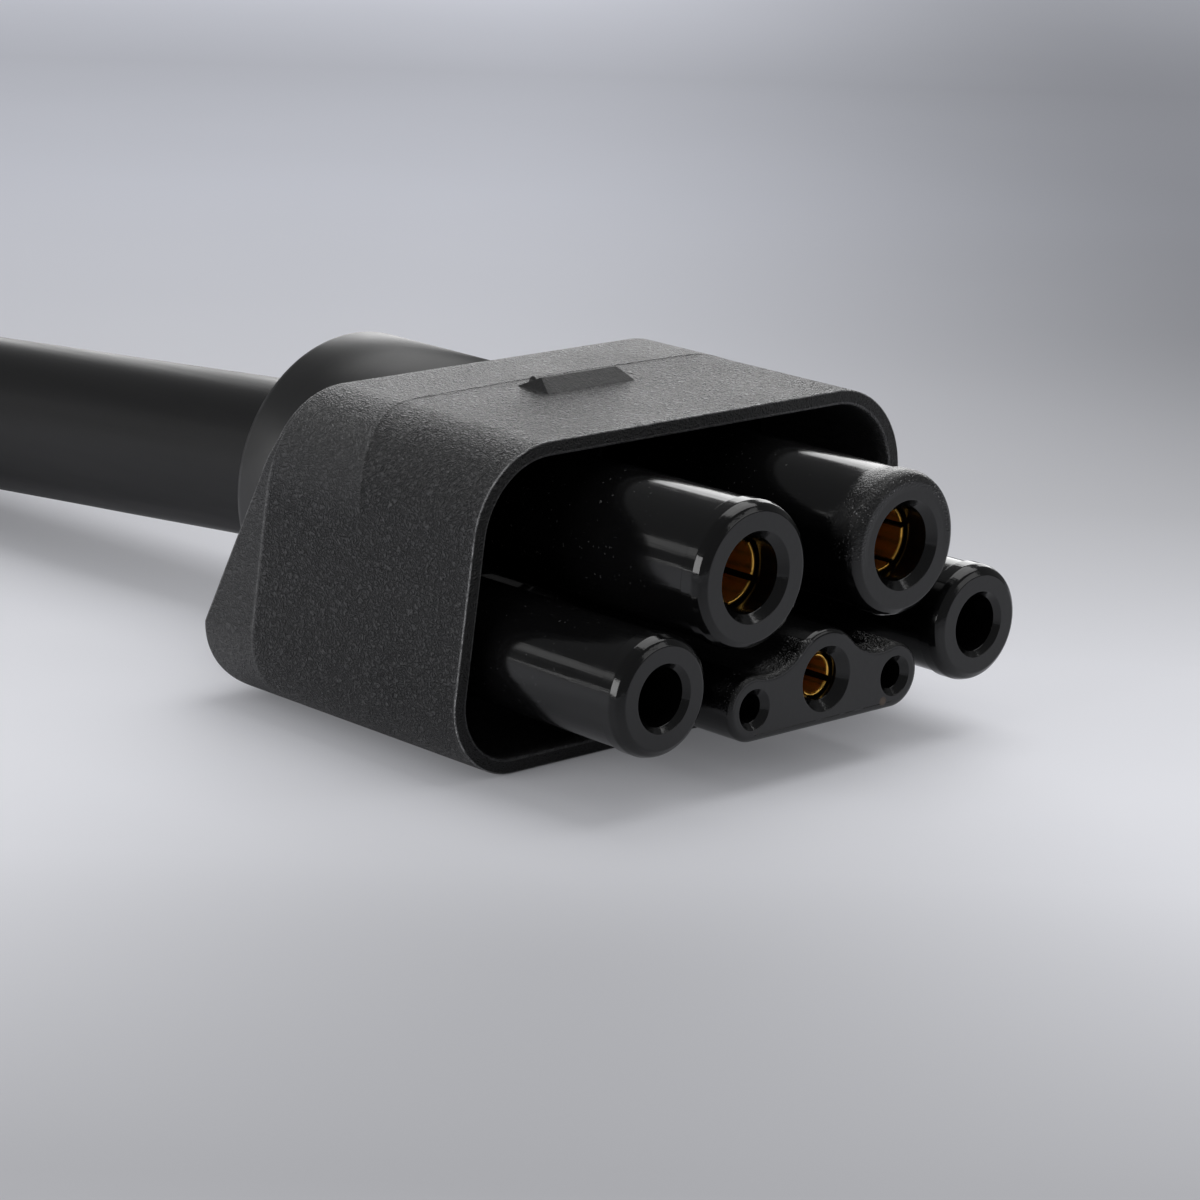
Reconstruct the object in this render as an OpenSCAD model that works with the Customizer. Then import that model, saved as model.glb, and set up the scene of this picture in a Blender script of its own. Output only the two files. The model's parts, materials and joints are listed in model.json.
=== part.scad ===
// EV charging adapter: a keyed multi-pin head on a short stiff lead with a four-blade power plug.
// Millimetres, +Z up. The head's sleeves point towards -Y and the lead leaves towards +Y.
// The origin is on the floor, under the middle of the head.

/* [Shroud] */
// length of the head, from the sleeve noses to the end of the cable boss
head_l = 70; // [67:0.5:75]
// how far the shroud's rim stands back from the sleeve noses
rim_set = 18.2; // [17:0.2:20]
// length of the shroud's full section, from rim to rear edge
shroud_l = 30.3; // [29:0.1:32]
// height of the shroud
shroud_h = 31.5; // [31:0.1:33]
// width between the sharp bottom corners of the section
shroud_wb = 62.5; // [61.5:0.5:66]
// width between the sharp top corners of the section
shroud_wt = 55; // [54:0.5:58]
// radius of the two top corners
corner_t = 9.3; // [7:0.1:10]
// radius of the two bottom corners
corner_b = 7.5; // [6:0.1:8.5]
// wall of the open shroud
wall = 1.5; // [1.2:0.1:1.8]
// depth of the cavity, from the rim to its floor
cavity_d = 17.8; // [16:0.1:18.5]

/* [Key ridge and rear wedge] */
// length of the key ridge's foot across the shroud
key_l = 11.6; // [10:0.2:14]
// width of the key ridge's foot
key_w = 4.5; // [4:0.1:5.5]
// height of the key ridge
key_h = 1.15; // [0.8:0.05:1.6]
// how far the wedge stands out behind the rear edge
wedge_l = 7.6; // [6.5:0.1:9]
// height at which the wedge's slope starts
wedge_top = 26.9; // [25:0.1:28]
// height at which the slope runs into the round foot
wedge_z = 7.5; // [6.5:0.1:9]

/* [Cable boss] */
// radius of the boss round the cable
boss_r = 15.3; // [14.8:0.1:15.4]
// height of the cable's axis where it leaves the head
boss_z = 15.5; // [15.4:0.1:15.8]
// rounding of the boss's rear edge
boss_edge = 0.6; // [0.3:0.1:1]

/* [Sleeves] */
// distance of the power sleeves from the middle
power_x = 10.1; // [10:0.1:10.6]
// height of the power sleeves' axes
power_z = 20.95; // [20.5:0.05:21.2]
// radius of a power sleeve behind its collar
power_r = 6.9; // [6.6:0.05:7]
// distance of the outer sleeves from the middle
outer_x = 21.2; // [20.8:0.1:21.6]
// height of the outer sleeves' axes
outer_z = 11.35; // [11.2:0.05:11.6]
// radius of an outer sleeve behind its collar
outer_r = 5.6; // [5.2:0.05:5.7]
// bore of the empty outer sleeves
outer_bore = 2.75; // [2.5:0.05:3]

/* [Pilot block] */
// height of the block's flat underside
block_z = 5; // [4.9:0.05:5.2]
// height of the middle hole's axis
ground_z = 9.55; // [9.4:0.05:9.7]
// radius of the middle lobe
lobe_r = 4.85; // [4.6:0.05:4.9]
// distance of the signal holes from the middle
signal_x = 9.5; // [9.3:0.05:9.7]
// height of the signal holes' axes
signal_z = 8.2; // [8.1:0.05:8.35]
// radius of the two side lobes
side_r = 3.2; // [3.1:0.05:3.3]
// radius of the hollow between two lobes
valley_r = 5.5; // [5:0.1:6.5]

/* [Contacts] */
// inner radius of a power contact, for a 6 mm pin
power_pin_r = 3; // [2.9:0.05:3.1]
// inner radius of the ground contact
ground_pin_r = 1.75; // [1.6:0.05:1.8]
// inner radius of a signal contact
signal_pin_r = 0.8; // [0.7:0.05:0.9]
// number of spring fingers of a power contact
fingers = 5; // [4:1:6]
// how far the power contacts stand back from the nose
contact_set = 3.4; // [3:0.1:4]

/* [Lead] */
// outer diameter of the cable
cable_d = 17.3; // [17:0.1:17.5]

/* [Plug] */
// width of the plug's body
plug_w = 56; // [54:0.5:60]
// length of the plug's body
plug_l = 62; // [60:0.5:66]
// height of the plug's body, lying on its back
plug_h = 27; // [26.5:0.1:30]
// distance between the middles of the two line blades
blade_span = 25.8; // [25:0.1:27]
// width of a line blade
blade_w = 17; // [16:0.1:18]
// thickness of a blade
blade_t = 1.8; // [1.6:0.1:2]
// how far the line blades stand out of the face
blade_l = 21; // [19:0.5:24]
// radius of the ground pin
pin_r = 2.4; // [2.2:0.05:2.6]

/* [Hidden] */
$fn = 64;
nose_y = -head_l / 2;
boss_end = head_l / 2;
rim_y = nose_y + rim_set;
floor_y = rim_y + cavity_d;
rear_y = rim_y + shroud_l;
foot_r = 5;
foot_y = rear_y + wedge_l;
over = 1;

// carrier plate, gasket and retainer behind the cavity floor
plate_t = 3;
plate_y = floor_y + plate_t;
gasket_t = 0.8;
gasket_w = 3;
retainer_t = 2;
retainer_y = plate_y + retainer_t;
board_t = 1.2;
board_y = retainer_y + board_t;
rear_wall = 2;
chamber_y = rear_y - rear_wall;

// front ends of the sleeves: collar radius, nose radius, entry radius, collar length
collar_up = 0.2;
bevel = 0.8;
bevel_l = 1;
collar_l = 2.6;
power_entry = 0.8;
outer_entry = 0.55;
ground_entry = 0.95;
signal_entry = 0.65;

// contacts: wall, flange and lengths behind the nose
contact_wall = 0.6;
power_bore = power_pin_r + contact_wall;
ground_bore = ground_pin_r + 0.5;
signal_bore = signal_pin_r + 0.55;
flange_up = 0.8;
flange_t = 1.2;
power_depth = 22;
ground_depth = 18;
signal_depth = 9;
ground_set = 1.6;
signal_set = 8;
barrel_end = chamber_y - 2.5;
tail_end = chamber_y - 2;
wire_depth = 3;
crimp = 0.65;
lead_in = 0.3;
ground_fingers = 3;
turn_left = -23;
turn_right = 16;
turn_ground = -20;
tail_r = 0.7;
slot_l = 9;
slot_w = 0.6;

// insulated cores, drawn from the contacts to the end of the cable's jacket
line_r = 2.3;
signal_core_r = 1;
cable_r = cable_d / 2;
jacket_y = rear_y + 6.5;
hollow_r = boss_r - 1.9;
line_in = [2.9, boss_z + 1.6];
ground_in = [0, boss_z - 3.4];
signal_in = [5.2, boss_z - 2.6];

// ferrule round the cable inside the boss
ferrule_y = jacket_y + 2;
ferrule_l = 6;
ferrule_t = 1.6;

// flat under the boss where it stands on the wedge
saddle_z = 2.5;
space_z = saddle_z + 2.5;

// route of the lead: from the jacket's end inside the head to the plug's body
plug_x = -9;
plug_y = 309;
plug_z = 13;
relief_l = 24;
route = [
  [0, jacket_y, boss_z], [0, boss_end + 2, boss_z], [-2.2, 72, 13.2], [-4.8, 108, 10.9],
  [-7, 145, 9.3], [-8.4, 182, 8.9], [-9, 219, 9.8], [-9, 254, 11.8],
  [plug_x, plug_y - relief_l, plug_z], [plug_x, plug_y, plug_z]
];
sides = 12;

// plug: face plate, blade roots and places of the blades
face_w = 40;
face_l = 46;
face_up = 1.2;
face_deep = 3;
face_top = plug_h + face_up;
blade_y = plug_y + 37;
root_z = plug_h - face_deep - 5;
neutral_y = blade_y - 14;
neutral_w = 13;
ground_y = blade_y + 13.5;
ground_up = 2.5;
pin_root_r = pin_r + 0.9;
pin_cone = 2;
pin_tip_r = pin_r - 1.2;
sensor_r = 1.5;
sensor_l = 4;
blade_bite = 1.5;

// plug's body: half width at the cable, where it is full, corner radius, rounding of its edges
neck_w = 17;
neck_l = 15;
plug_corner = 8;
edge_low = 1;
edge = 2;
edge_end = 3;
slope_l = 10;

// strain relief: wall at the cable, ribs, and how much of the pitch a rib takes
relief_wall = 1.6;
ribs = 4;
rib_from = -0.3;
rib_to = 0.2;
relief_end_r = plug_z - 0.5;

// board on the signal tails and its resistor
board_w = 25;
board_h = 7;
board_z = 5.2;
chip = [2, 0.6, 1.25];
chip_x = 4;
chip_z = 7.5;

// extrudes a shape drawn in X and Z from y0 to y1
module along_y(y0, y1) {
  translate([0, y1, 0]) rotate([90, 0, 0]) linear_extrude(y1 - y0) children();
}

// extrudes a shape drawn in Y and Z from x0 to x1
module along_x(x0, x1) {
  translate([x0, 0, 0]) rotate([90, 0, 90]) linear_extrude(x1 - x0) children();
}

// turns a shape drawn as radius and distance behind y about an axis along Y
module turned(x, y, z) {
  translate([x, y, z]) rotate([-90, 0, 0]) rotate_extrude() children();
}

// plain round bar along Y
module bar(x, z, y0, y1, r) {
  translate([x, y0, z]) rotate([-90, 0, 0]) cylinder(h = y1 - y0, r = r);
}

// direction of a tube at point i of its route p: along Y at both ends, halfway between legs elsewhere
function leg(p, i) = (p[i + 1] - p[i]) / norm(p[i + 1] - p[i]);
function heading(p, i) = i < 1 || i > len(p) - 2 ? [0, 1, 0] : leg(p, i - 1) + leg(p, i);

// ring of a tube at point i, square to its direction there
function ring(p, i, r) =
  let (t = heading(p, i) / norm(heading(p, i)), e = cross(t, [0, 0, 1]), u = e / norm(e))
  let (w = cross(u, t))
  [for (j = [0 : sides - 1]) p[i] + r * (cos(j * 360 / sides) * u + sin(j * 360 / sides) * w)];

// round tube of radius r through the points p, with flat ends
module tube(p, r) {
  n = len(p);
  polyhedron(
    points = [for (i = [0 : n - 1]) each ring(p, i, r)],
    faces = concat(
      [[for (j = [0 : sides - 1]) j]],
      [for (i = [0 : n - 2]) for (j = [0 : sides - 1])
        let (a = i * sides + j, b = i * sides + (j + 1) % sides)
        each [[a, b + sides, b], [a, a + sides, b + sides]]],
      [[for (j = [sides - 1 : -1 : 0]) (n - 1) * sides + j]]
    )
  );
}

// the shroud's section, a rounded trapezoid in X and Z, set in by d
module section(d) {
  k = (shroud_wb - shroud_wt) / 2 / shroud_h;
  s = sqrt(1 + k * k);
  zt = shroud_h - corner_t;
  xb = shroud_wb / 2 - k * corner_b - corner_b * s;
  xt = shroud_wb / 2 - k * zt - corner_t * s;
  rb = corner_b - d;
  rt = corner_t - d;
  for (m = [-1, 1]) {
    translate([m * xb, corner_b]) circle(rb);
    translate([m * xt, zt]) circle(rt);
  }
  polygon([
    [-xb, d], [xb, d], [xb + rb / s, corner_b + rb * k / s], [xt + rt / s, zt + rt * k / s],
    [xt, shroud_h - d], [-xt, shroud_h - d], [-xt - rt / s, zt + rt * k / s],
    [-xb - rb / s, corner_b + rb * k / s]
  ]);
}

// side view from y0 to the wedge, between z0 and the height z1 of the rear edge
module side_view(y0, z0, z1) {
  polygon([
    [y0, z0], [foot_y - foot_r, z0], [foot_y - foot_r, foot_r], [foot_y, foot_r],
    [foot_y, wedge_z], [rear_y, wedge_top], [rear_y, z1], [y0, z1]
  ]);
  translate([foot_y - foot_r, foot_r]) circle(foot_r);
}

// the boss's outside from y0 to its rounded end
module boss(y0) {
  turned(0, y0, boss_z) polygon([
    [0, 0], [boss_r, 0], [boss_r, boss_end - y0 - boss_edge],
    [boss_r - boss_edge * 0.3, boss_end - y0 - boss_edge * 0.3],
    [boss_r - boss_edge, boss_end - y0], [0, boss_end - y0]
  ]);
}

// space of the cores between the chamber and the cable, with a flat floor
module core_space(y0, y1) {
  intersection() {
    bar(0, boss_z, y0, y1, hollow_r);
    translate([-boss_r, y0 - over, space_z]) cube([2 * boss_r, y1 - y0 + 2 * over, shroud_h]);
  }
}

// ridge across the top that keys the head, with sloping ends
module key_ridge() {
  y0 = floor_y - key_w * 0.6;
  slope = key_h * 0.7;
  sink = 0.5;
  intersection() {
    along_x(-key_l, key_l) polygon([
      [y0, shroud_h - sink], [y0 + key_w, shroud_h - sink], [y0 + key_w, shroud_h],
      [y0 + key_w * 0.45, shroud_h + key_h], [y0, shroud_h]
    ]);
    along_y(y0 - over, y0 + key_w + over) polygon([
      [-key_l / 2, shroud_h - sink], [key_l / 2, shroud_h - sink], [key_l / 2, shroud_h],
      [key_l / 2 - slope, shroud_h + key_h], [slope - key_l / 2, shroud_h + key_h],
      [-key_l / 2, shroud_h]
    ]);
  }
}

module housing() color([0.1, 0.1, 0.105]) difference() {
  union() {
    intersection() {
      along_y(rim_y, foot_y + over) section(0);
      along_x(-shroud_wb, shroud_wb) side_view(rim_y - over, 0, shroud_h + over);
    }
    key_ridge();
  }
  along_y(rim_y - over, plate_y + gasket_t) section(wall);
  along_y(plate_y, chamber_y) section(wall + gasket_w);
  core_space(chamber_y - over, rear_y);
  intersection() {
    bar(0, boss_z, rear_y, boss_end, boss_r);
    translate([-boss_r, rear_y - over, saddle_z]) cube([2 * boss_r, boss_end, shroud_h]);
  }
}

module cable_collar() color([0.12, 0.12, 0.125]) difference() {
  boss(rear_y);
  intersection() {
    along_x(-boss_r, boss_r) side_view(rear_y - over, -over, wedge_top);
    translate([-boss_r, rear_y - over, -2 * over]) cube([2 * boss_r, boss_end, saddle_z + 2 * over]);
  }
  core_space(rear_y - over, jacket_y);
  bar(0, boss_z, rear_y, boss_end + over, cable_r);
  bar(0, boss_z, ferrule_y, ferrule_y + ferrule_l, cable_r + ferrule_t);
}

// outside of one sleeve: bevelled nose, collar, step, body
module sleeve(x, z, r) {
  c = r + collar_up;
  turned(x, nose_y, z) polygon([
    [0, 0], [c - bevel, 0], [c - bevel * 0.4, bevel_l * 0.25], [c, bevel_l], [c, collar_l],
    [r, collar_l + collar_up], [r, floor_y - nose_y + over], [0, floor_y - nose_y + over]
  ]);
}

// bore with a coned entry, from the nose to y1
module bore(x, z, r, entry, y1) {
  turned(x, nose_y - over, z) polygon([
    [0, 0], [r + entry * 2, 0], [r, entry + over], [r, y1 - nose_y + over], [0, y1 - nose_y + over]
  ]);
}

// outline of the pilot block: three lobes joined by hollows on a flat underside
module block_outline() {
  g = [0, ground_z];
  s = [signal_x, signal_z];
  span = norm(s - g);
  u = (s - g) / span;
  n = [-u[1], u[0]];
  a = (pow(lobe_r + valley_r, 2) - pow(side_r + valley_r, 2) + span * span) / (2 * span);
  v = g + a * u + sqrt(pow(lobe_r + valley_r, 2) - a * a) * n;
  tg = g + (v - g) * lobe_r / (lobe_r + valley_r);
  ts = s + (v - s) * side_r / (side_r + valley_r);
  difference() {
    union() {
      translate(g) circle(lobe_r);
      for (m = [-1, 1]) translate([m * signal_x, signal_z]) circle(side_r);
      polygon([
        [-signal_x, block_z], [signal_x, block_z], s, ts, tg, [-tg[0], tg[1]],
        [-ts[0], ts[1]], [-signal_x, signal_z]
      ]);
    }
    for (m = [-1, 1]) translate([m * v[0], v[1]]) circle(valley_r);
  }
}

module contact_carrier() color([0.05, 0.05, 0.055]) difference() {
  union() {
    along_y(floor_y, plate_y) section(wall);
    for (m = [-1, 1]) {
      sleeve(m * power_x, power_z, power_r);
      sleeve(m * outer_x, outer_z, outer_r);
    }
    along_y(nose_y, floor_y + over) block_outline();
  }
  for (m = [-1, 1]) {
    bore(m * power_x, power_z, power_bore, power_entry, plate_y + over);
    bar(m * power_x, power_z, plate_y - flange_t, plate_y + over, power_bore + flange_up);
    bore(m * outer_x, outer_z, outer_bore, outer_entry, floor_y - over);
    bore(m * signal_x, signal_z, signal_bore, signal_entry, plate_y + over);
    bar(m * signal_x, signal_z, plate_y - flange_t, plate_y + over, signal_bore + flange_up);
  }
  bore(0, ground_z, ground_bore, ground_entry, plate_y + over);
  bar(0, ground_z, plate_y - flange_t, plate_y + over, ground_bore + flange_up);
}

module carrier_gasket() color([0.2, 0.2, 0.2]) along_y(plate_y, plate_y + gasket_t) difference() {
  section(wall);
  section(wall + gasket_w);
}

module contact_retainer() color([0.75, 0.75, 0.72]) difference() {
  along_y(plate_y, retainer_y) section(wall + gasket_w);
  for (m = [-1, 1]) {
    bar(m * power_x, power_z, plate_y - over, retainer_y + over, power_bore);
    bar(m * signal_x, signal_z, plate_y - over, retainer_y + over, signal_bore);
  }
  bar(0, ground_z, plate_y - over, retainer_y + over, ground_bore);
}

// turned contact: slotted socket, flange against the retainer, crimp barrel
module socket(x, z, r_in, r_out, set, depth, count, phase) difference() {
  y0 = nose_y + set;
  flange_y = plate_y - flange_t - y0;
  end = barrel_end - y0;
  turned(x, y0, z) polygon([
    [r_in, lead_in], [r_in + lead_in * 0.7, 0], [r_out, 0], [r_out, flange_y], [r_out + flange_up, flange_y],
    [r_out + flange_up, flange_y + flange_t], [r_out, flange_y + flange_t], [r_out, end],
    [r_out * crimp, end], [r_out * crimp, end - wire_depth], [0, end - wire_depth], [0, depth],
    [r_in, depth]
  ]);
  translate([x, y0 - over, z]) for (i = [0 : count - 1])
    rotate([0, -phase - i * 360 / count, 0]) translate([r_in * 0.7, 0, -slot_w / 2])
      cube([r_out, slot_l + over, slot_w]);
}

// small plain socket with a solder tail
module signal_socket(x) color([0.83, 0.62, 0.25]) {
  y0 = nose_y + signal_set;
  flange_y = plate_y - flange_t - y0;
  turned(x, y0, signal_z) polygon([
    [signal_pin_r, 0], [signal_bore, 0], [signal_bore, flange_y],
    [signal_bore + flange_up, flange_y], [signal_bore + flange_up, flange_y + flange_t],
    [signal_bore, flange_y + flange_t], [signal_bore, retainer_y - y0], [tail_r, retainer_y - y0],
    [tail_r, tail_end - y0], [0, tail_end - y0], [0, signal_depth], [signal_pin_r, signal_depth]
  ]);
}

// power contact on side m, with its slots turned by phase
module power_socket(m, phase) {
  socket(m * power_x, power_z, power_pin_r, power_bore, contact_set, power_depth, fingers, phase);
}

module power_contact_left() color([0.83, 0.62, 0.25]) power_socket(-1, turn_left);
module power_contact_right() color([0.83, 0.62, 0.25]) power_socket(1, turn_right);
module ground_contact() color([0.83, 0.62, 0.25])
  socket(0, ground_z, ground_pin_r, ground_bore, ground_set, ground_depth, ground_fingers, turn_ground);
module signal_contact_left() signal_socket(-signal_x);
module signal_contact_right() signal_socket(signal_x);

// board soldered to the signal tails, with room for the ground barrel
module id_board() color([0.1, 0.35, 0.2]) difference() {
  translate([-board_w / 2, retainer_y, board_z]) cube([board_w, board_t, board_h]);
  for (m = [-1, 1]) bar(m * signal_x, signal_z, retainer_y - over, board_y + over, tail_r);
  bar(0, ground_z, retainer_y - over, board_y + over, ground_bore);
}

module id_resistor() color([0.15, 0.15, 0.15]) {
  translate([chip_x, board_y, chip_z]) cube(chip);
}

// insulated core on side m from a contact at x, z: straight out, slanting in, straight into the jacket
module core_to(m, x, z, y0, in, r) {
  straight = r * 0.4;
  tube([
    [m * x, y0, z], [m * x, y0 + straight, z], [m * in[0], jacket_y - straight, in[1]],
    [m * in[0], jacket_y, in[1]]
  ], r);
}

module line_core(m) core_to(m, power_x, power_z, barrel_end, line_in, line_r);
module signal_core(m) core_to(m, signal_x, signal_z, tail_end, signal_in, signal_core_r);

module core_line_left() color([0.1, 0.1, 0.1]) line_core(-1);
module core_line_right() color([0.6, 0.1, 0.1]) line_core(1);
module core_ground() color([0.1, 0.45, 0.2]) core_to(1, 0, ground_z, barrel_end, ground_in, line_r);
module core_signal_left() color([0.8, 0.8, 0.8]) signal_core(-1);
module core_signal_right() color([0.2, 0.3, 0.7]) signal_core(1);

module cable_ferrule() color([0.6, 0.6, 0.62]) difference() {
  bar(0, boss_z, ferrule_y, ferrule_y + ferrule_l, cable_r + ferrule_t);
  bar(0, boss_z, ferrule_y - over, ferrule_y + ferrule_l + over, cable_r);
}

module cable() color([0.09, 0.09, 0.09]) tube(route, cable_r);

// ribbed bush that guards the cable where it enters the plug
module plug_strain_relief() color([0.1, 0.1, 0.1]) {
  r0 = cable_r + relief_wall;
  y0 = plug_y - relief_l;
  pitch = relief_l / (ribs + 1);
  difference() {
    union() {
      translate([plug_x, y0, plug_z]) rotate([-90, 0, 0])
        cylinder(h = relief_l, r1 = r0, r2 = relief_end_r - 1);
      for (i = [1 : ribs]) {
        r = r0 + (relief_end_r - r0) * i / ribs;
        bar(plug_x, plug_z, y0 + (i + rib_from) * pitch, y0 + (i + rib_to) * pitch, r);
      }
    }
    bar(plug_x, plug_z, y0 - over, plug_y + over, cable_r);
  }
}

// plan of the plug's body: narrow at the cable, wide round the blades, with round corners
module plug_plan() {
  c = plug_corner;
  w = plug_w / 2;
  for (m = [-1, 1]) translate([m * (w - c), plug_l - c]) circle(c);
  polygon([
    [-neck_w, 0], [neck_w, 0], [w, neck_l], [w, plug_l - c], [w - c, plug_l - c],
    [w - c, plug_l], [c - w, plug_l], [c - w, plug_l - c], [-w, plug_l - c], [-w, neck_l]
  ]);
}

module plug_body() color([0.08, 0.08, 0.085]) difference() {
  w = plug_w / 2;
  intersection() {
    translate([plug_x, plug_y, 0]) linear_extrude(plug_h) plug_plan();
    along_x(plug_x - plug_w, plug_x + plug_w) translate([plug_y, 0]) polygon([
      [0, edge_low], [edge_low, 0], [plug_l - edge_end, 0], [plug_l, edge_end],
      [plug_l, plug_h - edge], [plug_l - edge, plug_h], [slope_l, plug_h], [0, plug_h - edge]
    ]);
    along_y(plug_y - over, plug_y + plug_l + over) translate([plug_x, 0]) polygon([
      [edge - w, 0], [w - edge, 0], [w, edge], [w, plug_h - edge], [w - edge, plug_h],
      [edge - w, plug_h], [-w, plug_h - edge], [-w, edge]
    ]);
  }
  translate([plug_x - face_w / 2, blade_y - face_l / 2, plug_h - face_deep])
    cube([face_w, face_l, plug_h]);
  for (m = [-1, 1]) blade_slab(plug_x + m * blade_span / 2, blade_y, blade_w, face_top);
  blade_slab(plug_x, neutral_y, neutral_w, face_top);
  translate([plug_x, ground_y, root_z]) cylinder(h = plug_h, r = pin_root_r);
  sensor_bar();
}

// plain slab of a blade from its root up to z
module blade_slab(x, y, w, z) {
  translate([x - blade_t / 2, y - w / 2, root_z]) cube([blade_t, w, z - root_z]);
}

// room of the heat sensor under the face
module sensor_bar() {
  translate([plug_x, blade_y, plug_h - face_deep - sensor_r]) rotate([0, 90, 0])
    cylinder(h = sensor_l, r = sensor_r, center = true);
}

// blade with a bevelled tip
module blade(x, y, w, l) color([0.8, 0.62, 0.28]) {
  z1 = face_top + l;
  z2 = z1 - blade_bite;
  in = w / 2 - blade_bite;
  intersection() {
    along_x(x - blade_t / 2, x + blade_t / 2) polygon([
      [y - w / 2, root_z], [y + w / 2, root_z], [y + w / 2, z2], [y + in, z1], [y - in, z1],
      [y - w / 2, z2]
    ]);
    along_y(y - w, y + w) polygon([
      [x - blade_t / 2, root_z], [x + blade_t / 2, root_z], [x + blade_t / 2, z2],
      [x + blade_t / 4, z1], [x - blade_t / 4, z1], [x - blade_t / 2, z2]
    ]);
  }
}

module plug_face() color([0.06, 0.06, 0.065]) difference() {
  translate([plug_x - face_w / 2, blade_y - face_l / 2, plug_h - face_deep])
    cube([face_w, face_l, face_deep + face_up]);
  for (m = [-1, 1]) blade_slab(plug_x + m * blade_span / 2, blade_y, blade_w, face_top + over);
  blade_slab(plug_x, neutral_y, neutral_w, face_top + over);
  translate([plug_x, ground_y, root_z]) cylinder(h = plug_h, r = pin_root_r);
}

module blade_line_left() blade(plug_x - blade_span / 2, blade_y, blade_w, blade_l);
module blade_line_right() blade(plug_x + blade_span / 2, blade_y, blade_w, blade_l);
module blade_neutral() blade(plug_x, neutral_y, neutral_w, blade_l);

// round ground pin, longer than the blades, with a coned tip
module plug_ground_pin() color([0.8, 0.62, 0.28]) {
  flange = face_top - root_z;
  tip = flange + blade_l + ground_up;
  translate([plug_x, ground_y, root_z]) rotate_extrude() polygon([
    [0, 0], [pin_root_r, 0], [pin_root_r, flange], [pin_r, flange], [pin_r, tip - pin_cone],
    [pin_tip_r, tip], [0, tip]
  ]);
}

// bead that senses the heat of the blades, set under the face
module temperature_sensor() color([0.1, 0.1, 0.1]) sensor_bar();

housing();
cable_collar();
contact_carrier();
carrier_gasket();
contact_retainer();
power_contact_left();
power_contact_right();
ground_contact();
signal_contact_left();
signal_contact_right();
id_board();
id_resistor();
core_line_left();
core_line_right();
core_ground();
core_signal_left();
core_signal_right();
cable_ferrule();
cable();
plug_strain_relief();
plug_body();
plug_face();
blade_line_left();
blade_line_right();
blade_neutral();
plug_ground_pin();
temperature_sensor();
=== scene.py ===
import json
import math

import bmesh
import bpy
import numpy as np
from mathutils import Matrix, Vector
from mathutils.geometry import tessellate_polygon


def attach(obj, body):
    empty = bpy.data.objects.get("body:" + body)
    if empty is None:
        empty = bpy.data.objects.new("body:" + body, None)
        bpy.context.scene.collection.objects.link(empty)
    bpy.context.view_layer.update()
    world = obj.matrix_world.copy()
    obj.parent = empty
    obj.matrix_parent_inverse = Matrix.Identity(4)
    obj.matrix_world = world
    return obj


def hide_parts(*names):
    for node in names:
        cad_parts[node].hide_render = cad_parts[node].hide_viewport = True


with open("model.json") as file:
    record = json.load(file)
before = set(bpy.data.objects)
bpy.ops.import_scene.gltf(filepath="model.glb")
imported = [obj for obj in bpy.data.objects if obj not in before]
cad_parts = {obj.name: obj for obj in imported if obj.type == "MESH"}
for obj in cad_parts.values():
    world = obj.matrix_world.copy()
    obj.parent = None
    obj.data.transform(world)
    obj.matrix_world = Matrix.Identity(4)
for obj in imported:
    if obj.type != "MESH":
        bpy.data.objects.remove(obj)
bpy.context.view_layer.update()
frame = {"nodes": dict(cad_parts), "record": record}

MM = 0.001

# camera, at the photograph's viewing angle
CAM_POS = Vector((-268.99, -285.84, 115.77)) * MM
CAM_FWD = Vector((0.6663, 0.6984, -0.2612)).normalized()
CAM_ROLL = math.radians(2.011)
CAM_LENS = 122.29
CAM_SENSOR = 36


def link_object(name, data):
    o = bpy.data.objects.new(name, data)
    bpy.context.scene.collection.objects.link(o)
    return o


def make_camera():
    right = CAM_FWD.cross(Vector((0, 0, 1))).normalized()
    up = right.cross(CAM_FWD)
    c, s = math.cos(CAM_ROLL), math.sin(CAM_ROLL)
    r, u = c * right + s * up, c * up - s * right
    data = bpy.data.cameras.new("camera")
    data.lens = CAM_LENS
    data.sensor_width = CAM_SENSOR
    data.clip_start, data.clip_end = 0.01, 20
    cam = link_object("camera", data)
    m = Matrix((r, u, -CAM_FWD)).transposed().to_4x4()
    m.translation = CAM_POS
    cam.matrix_world = m
    bpy.context.scene.camera = cam


make_camera()

# sizes of the part's source, mm
HEAD_L, RIM_SET, SHROUD_L, SHROUD_H = 70, 18.2, 30.3, 31.5
SHROUD_WB, SHROUD_WT, CORNER_T, CORNER_B, WALL = 62.5, 55, 9.3, 7.5, 1.5
CAVITY_D, PLATE_T, GASKET_T, GASKET_W = 17.8, 3, 0.8, 3
NOSE_Y, BOSS_END = -HEAD_L / 2, HEAD_L / 2
RIM_Y = NOSE_Y + RIM_SET
FLOOR_Y = RIM_Y + CAVITY_D
REAR_Y = RIM_Y + SHROUD_L
WEDGE_L, WEDGE_TOP, WEDGE_Z, FOOT_R = 7.6, 26.9, 7.5, 5
FOOT_Y = REAR_Y + WEDGE_L
KEY_L, KEY_W, KEY_H = 11.6, 4.5, 1.15
BOSS_R, BOSS_Z = 15.3, 15.5
POWER_X, POWER_Z, POWER_R, POWER_BORE, POWER_ENTRY = 10.1, 20.95, 6.9, 3.6, 0.8
OUTER_X, OUTER_Z, OUTER_R, OUTER_BORE, OUTER_ENTRY = 21.2, 11.35, 5.6, 2.75, 0.55
COLLAR_UP, COLLAR_L = 0.2, 2.6
BLOCK_Z, GROUND_Z, LOBE_R, SIGNAL_X, SIGNAL_Z = 5, 9.55, 4.85, 9.5, 8.2
SIDE_R, VALLEY_R = 3.2, 5.5
GROUND_BORE, GROUND_ENTRY, SIGNAL_BORE, SIGNAL_ENTRY = 2.25, 0.95, 1.35, 0.65
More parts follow.
